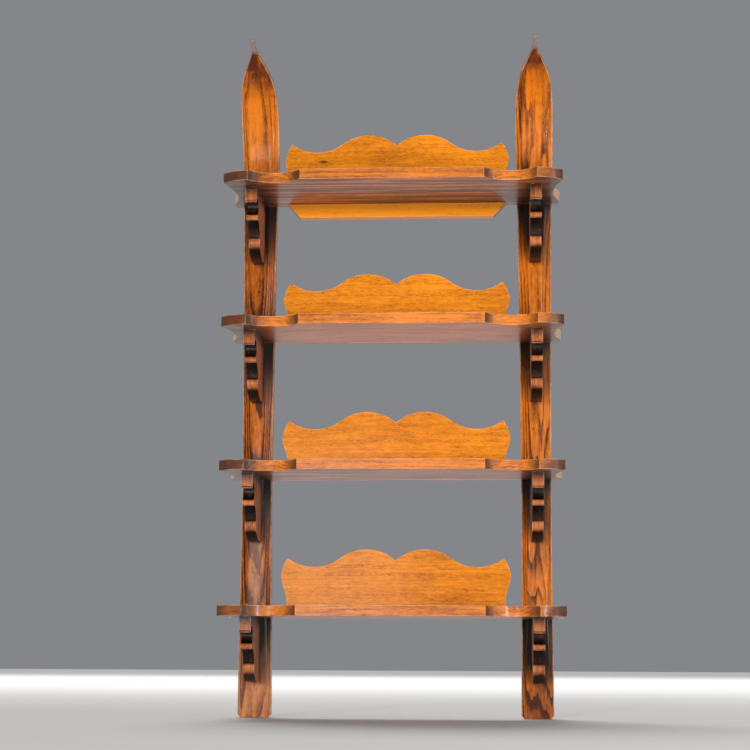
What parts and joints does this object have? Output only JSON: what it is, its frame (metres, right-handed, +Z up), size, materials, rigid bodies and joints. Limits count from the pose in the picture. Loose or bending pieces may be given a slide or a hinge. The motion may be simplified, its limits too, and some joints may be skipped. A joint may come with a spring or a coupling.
{
  "type": "wall shelf",
  "caption": "Tiered wooden wall shelf carried by a pair of short wooden skis, with fretted brackets and scalloped backboards.",
  "frame": {"origin": "On the wall plane, midway between the two hanging holes in the skis' backs.", "axes": "+X to the right seen from the front, +Y from the shelf to the wall, +Z up along the skis."},
  "size_m": [0.604, 0.205, 1.2237],
  "materials": {
    "ski_wood": "old brown varnish, worn at the edges and tips",
    "shelf_pine": "honey-brown varnish over planed pine",
    "backboard_pine": "orange varnish over planed pine",
    "bracket_pine": "honey-brown varnish, darker in the sawn curves",
    "plate_steel": "plain zinc-plated steel",
    "fastener_steel": "plain steel"
  },
  "bodies": {
    "root": {"left_ski": "ski_wood", "left_hanger_plate": "plate_steel", "left_bracket_1": "bracket_pine", "left_bracket_2": "bracket_pine", "left_bracket_3": "bracket_pine", "left_bracket_4": "bracket_pine", "right_ski": "ski_wood", "right_hanger_plate": "plate_steel", "right_bracket_1": "bracket_pine", "right_bracket_2": "bracket_pine", "right_bracket_3": "bracket_pine", "right_bracket_4": "bracket_pine", "shelf_1": "shelf_pine", "backboard_1": "backboard_pine", "shelf_2": "shelf_pine", "backboard_2": "backboard_pine", "shelf_3": "shelf_pine", "backboard_3": "backboard_pine", "shelf_4": "shelf_pine", "backboard_4": "backboard_pine", "apron": "backboard_pine", "back_screws": "fastener_steel", "hanger_screws": "fastener_steel", "bracket_nails": "fastener_steel", "backboard_nails": "fastener_steel", "apron_nails": "fastener_steel"}
  },
  "joints": []
}
